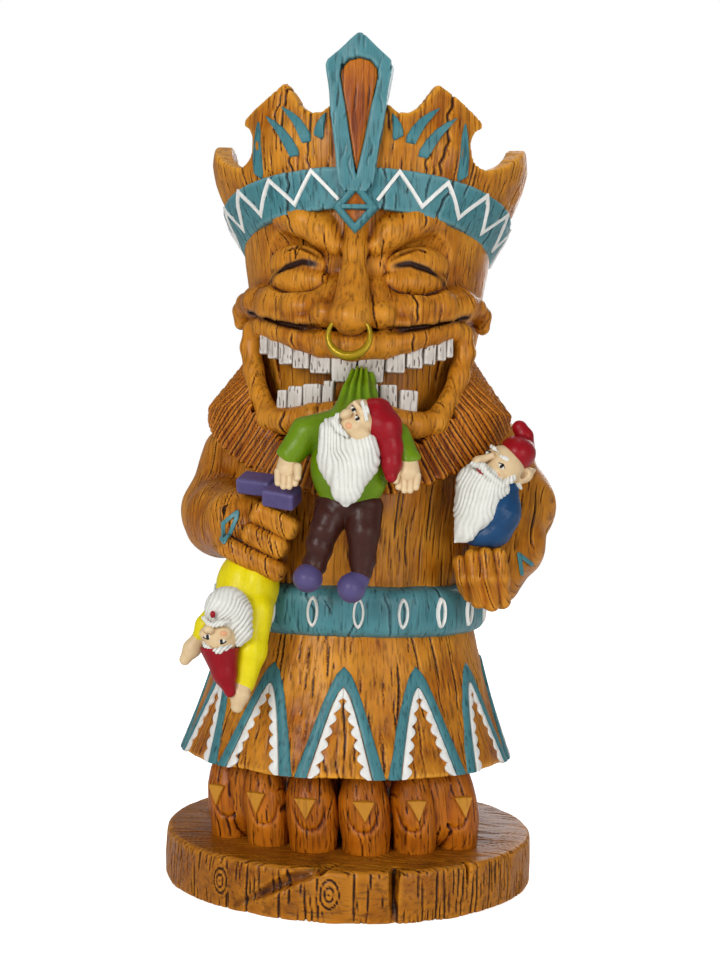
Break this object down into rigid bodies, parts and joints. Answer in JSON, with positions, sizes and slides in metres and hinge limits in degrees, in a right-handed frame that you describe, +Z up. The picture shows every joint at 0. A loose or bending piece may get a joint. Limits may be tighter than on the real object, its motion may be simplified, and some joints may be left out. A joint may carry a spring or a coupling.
{
  "type": "tiki figure",
  "caption": "Free-standing tiki figure on a log slice, with crown, grinning head, beard, belt and painted skirt, holding small gnomes.",
  "frame": {"origin": "centre of the underside of the log-slice base", "axes": "+Z up, the figure faces -Y, its left hand is on +X"},
  "size_m": [0.1908, 0.1958, 0.395],
  "materials": {
    "carved_wood_look": "satin varnish over ochre paint with dark stained grooves",
    "foot_wood_look": "satin varnish over red-brown paint",
    "base_wood_look": "satin varnish over brown paint",
    "nail_paint": "satin",
    "teal_paint": "satin, darker in the grooves",
    "white_paint": "satin",
    "tooth_paint": "satin with dark streaks",
    "gold_paint": "gloss metallic paint",
    "green_paint": "satin",
    "blue_paint": "satin",
    "yellow_paint": "satin",
    "skin_paint": "satin with rosy cheeks",
    "beard_paint": "satin",
    "red_paint": "satin",
    "brown_paint": "satin",
    "purple_paint": "satin"
  },
  "bodies": {
    "root": {"base_log_slice": "base_wood_look", "right_foot": "foot_wood_look", "left_foot": "foot_wood_look", "toe_1": "foot_wood_look", "toe_2": "foot_wood_look", "toe_3": "foot_wood_look", "toe_4": "foot_wood_look", "toe_5": "foot_wood_look", "toe_6": "foot_wood_look", "toe_nails": "nail_paint", "skirt": "carved_wood_look", "skirt_arch_bands": "teal_paint", "skirt_scallop_trim": "white_paint", "belt": "teal_paint", "belt_ovals": "white_paint", "torso": "carved_wood_look", "right_upper_arm": "carved_wood_look", "right_forearm": "carved_wood_look", "right_fist": "carved_wood_look", "left_upper_arm": "carved_wood_look", "left_forearm": "carved_wood_look", "left_hand": "carved_wood_look", "arm_marks": "teal_paint", "beard": "carved_wood_look", "head": "carved_wood_look", "brows": "carved_wood_look", "eyelids": "carved_wood_look", "nose": "carved_wood_look", "nose_ring": "gold_paint", "upper_lip": "carved_wood_look", "lower_lip": "carved_wood_look", "cheek_scrolls": "carved_wood_look", "upper_teeth": "tooth_paint", "lower_teeth": "tooth_paint", "crown": "carved_wood_look", "crown_band": "teal_paint", "band_zigzag": "white_paint", "band_diamond": "teal_paint", "centre_spike": "teal_paint", "centre_spike_inlay": "carved_wood_look", "crown_feather_marks": "teal_paint", "green_gnome_shirt": "green_paint", "green_gnome_trousers": "brown_paint", "green_gnome_boots": "purple_paint", "green_gnome_head": "skin_paint", "green_gnome_beard": "beard_paint", "green_gnome_hat": "red_paint", "green_gnome_hands": "skin_paint", "blue_gnome_shirt": "blue_paint", "blue_gnome_head": "skin_paint", "blue_gnome_beard": "beard_paint", "blue_gnome_hat": "red_paint", "yellow_gnome_shirt": "yellow_paint", "yellow_gnome_head": "skin_paint", "yellow_gnome_beard": "beard_paint", "yellow_gnome_hat": "red_paint", "yellow_gnome_hands": "skin_paint", "yellow_gnome_boots": "purple_paint"}
  },
  "joints": []
}
